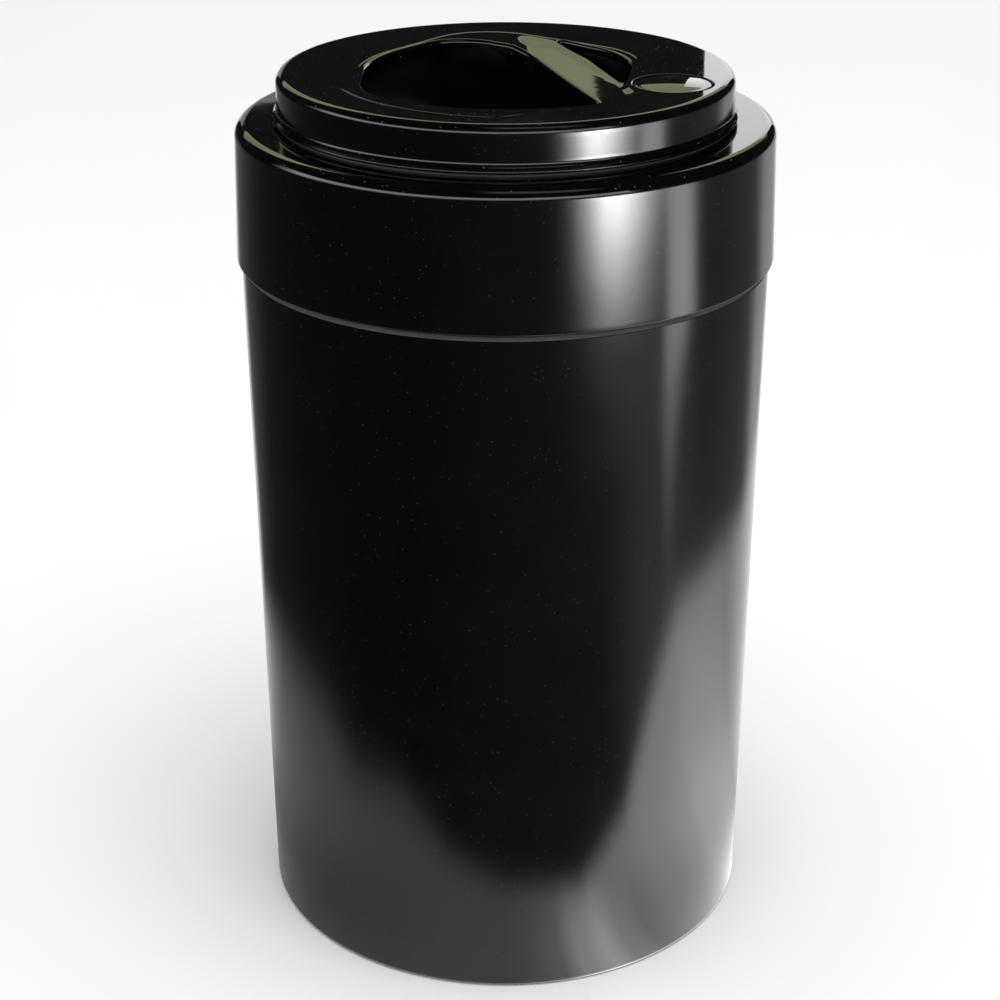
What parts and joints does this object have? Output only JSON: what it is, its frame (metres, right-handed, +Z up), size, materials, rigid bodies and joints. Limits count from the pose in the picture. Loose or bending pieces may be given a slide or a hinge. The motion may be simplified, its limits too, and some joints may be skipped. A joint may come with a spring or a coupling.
{
  "type": "storage canister",
  "caption": "Tall round gloss-black storage canister with a skirted lift-off lid, a recessed handle bar across a finger bowl, and a push-button air valve.",
  "frame": {"origin": "centre of the base, on the surface the canister stands on", "axes": "+Z up along the canister's axis, +X to the right of the front, where the push button lies, -Y to the front"},
  "size_m": [0.216, 0.216, 0.3605],
  "materials": {
    "gloss_black": "polished, injection moulded",
    "satin_black": "satin, injection moulded",
    "silicone": "soft matt silicone",
    "valve_plastic": "natural",
    "valve_silicone": "soft matt silicone",
    "steel": "plain"
  },
  "bodies": {
    "canister": {"canister_body": "gloss_black", "neck_ring": "satin_black", "neck_seal_lower": "silicone", "neck_seal_upper": "silicone"},
    "lid": {"lid_shell": "gloss_black", "rim_gasket": "silicone", "tier_cover": "gloss_black", "tier_gasket": "silicone", "tier_screws": "steel", "finger_bowl": "gloss_black", "valve_housing": "satin_black", "housing_gasket": "silicone", "housing_screws": "steel", "inner_cover": "satin_black", "cover_screws": "steel", "button_spring": "steel"},
    "button": {"button_cap": "gloss_black", "valve_stem": "valve_plastic", "disc_carrier": "valve_plastic", "valve_disc": "valve_silicone", "stem_clip": "steel"}
  },
  "joints": [
    {"name": "lid_lift", "type": "slide", "parent": "canister", "child": "lid", "axis": [0, 0, 1], "range_m": [0, 0.25]},
    {"name": "button_press", "type": "slide", "parent": "lid", "child": "button", "axis": [0, 0, -1], "range_m": [0, 0.004], "stiffness_N_per_m": 300, "springref_m": -0.008, "deforming": ["button_spring"]}
  ]
}
